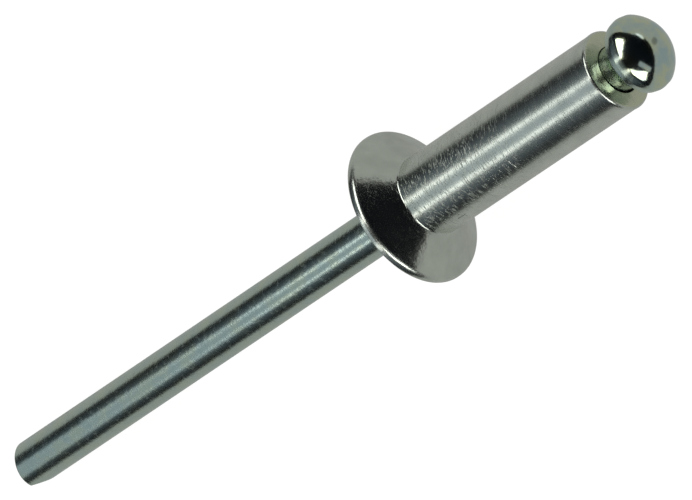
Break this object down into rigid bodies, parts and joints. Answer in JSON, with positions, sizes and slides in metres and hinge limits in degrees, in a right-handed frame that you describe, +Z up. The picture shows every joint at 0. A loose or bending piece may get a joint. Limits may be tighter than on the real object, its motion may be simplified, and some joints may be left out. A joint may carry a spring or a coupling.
{
  "type": "pop rivet",
  "caption": "Countersunk blind rivet, unset: aluminium sleeve with a cone-shaped flange on a steel mandrel with a domed head and a break neck.",
  "frame": {"origin": "on the surface that the rivet lies on, under the middle of its length", "axes": "+X from the mandrel's tail towards its head, tilted up 5.7 degrees along the rivet as it lies on its flange's edge and its tail; +Z up"},
  "size_m": [0.0452, 0.0078, 0.0077],
  "materials": {
    "aluminium": "bright, drawn and fine scratched",
    "zinc_plated_steel": "bright zinc plate"
  },
  "bodies": {
    "root": {"rivet_body": "aluminium", "mandrel": "zinc_plated_steel"}
  },
  "joints": []
}
